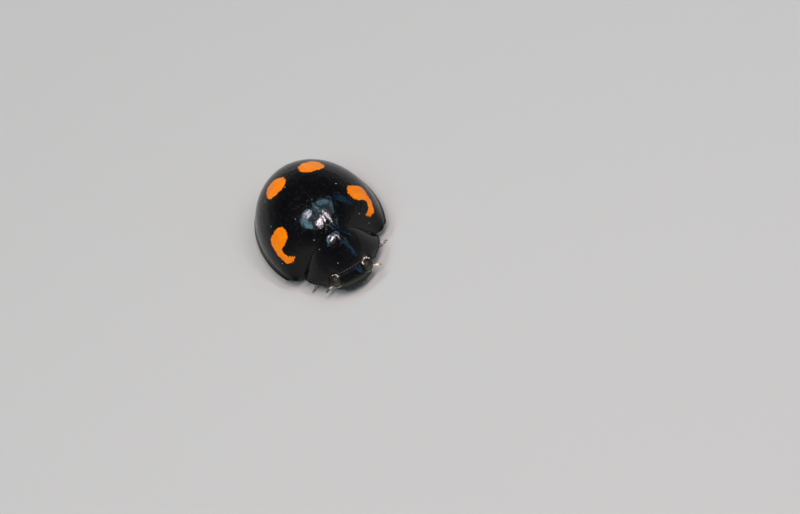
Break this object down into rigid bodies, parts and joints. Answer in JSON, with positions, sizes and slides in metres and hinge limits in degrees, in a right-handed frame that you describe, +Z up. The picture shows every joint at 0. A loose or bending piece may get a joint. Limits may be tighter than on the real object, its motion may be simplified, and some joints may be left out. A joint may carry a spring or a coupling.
{
  "type": "pine ladybird (beetle)",
  "caption": "Still, life-size pine ladybird at rest: a round glossy black dome with orange spots, small head tucked under the front, short legs on the ground.",
  "frame": {"origin": "on the ground, under the middle of the bounding box", "axes": "+Z up, head towards -Y, the beetle's left side towards +X"},
  "size_m": [0.0036, 0.0046, 0.0022],
  "materials": {
    "shell": "glossy black shell plates, with four orange spots on the wing cases",
    "underside": "satin brown-black plates",
    "leg": "satin brown-black",
    "eye": "dark grey-brown with fine facets",
    "feeler": "satin brown"
  },
  "bodies": {
    "root": {"head": "shell", "pronotum": "shell", "scutellum": "shell", "elytron_left": "shell", "elytron_right": "shell", "prosternum": "underside", "thorax": "underside", "abdomen": "underside", "mouthparts": "underside", "eye_left": "eye", "eye_right": "eye", "antenna_left": "feeler", "antenna_right": "feeler", "palp_left": "feeler", "palp_right": "feeler", "front_femur_left": "leg", "front_femur_right": "leg", "front_tibia_left": "leg", "front_tibia_right": "leg", "front_tarsus_left": "leg", "front_tarsus_right": "leg", "middle_femur_left": "leg", "middle_femur_right": "leg", "middle_tibia_left": "leg", "middle_tibia_right": "leg", "middle_tarsus_left": "leg", "middle_tarsus_right": "leg", "hind_femur_left": "leg", "hind_femur_right": "leg", "hind_tibia_left": "leg", "hind_tibia_right": "leg", "hind_tarsus_left": "leg", "hind_tarsus_right": "leg"}
  },
  "joints": []
}
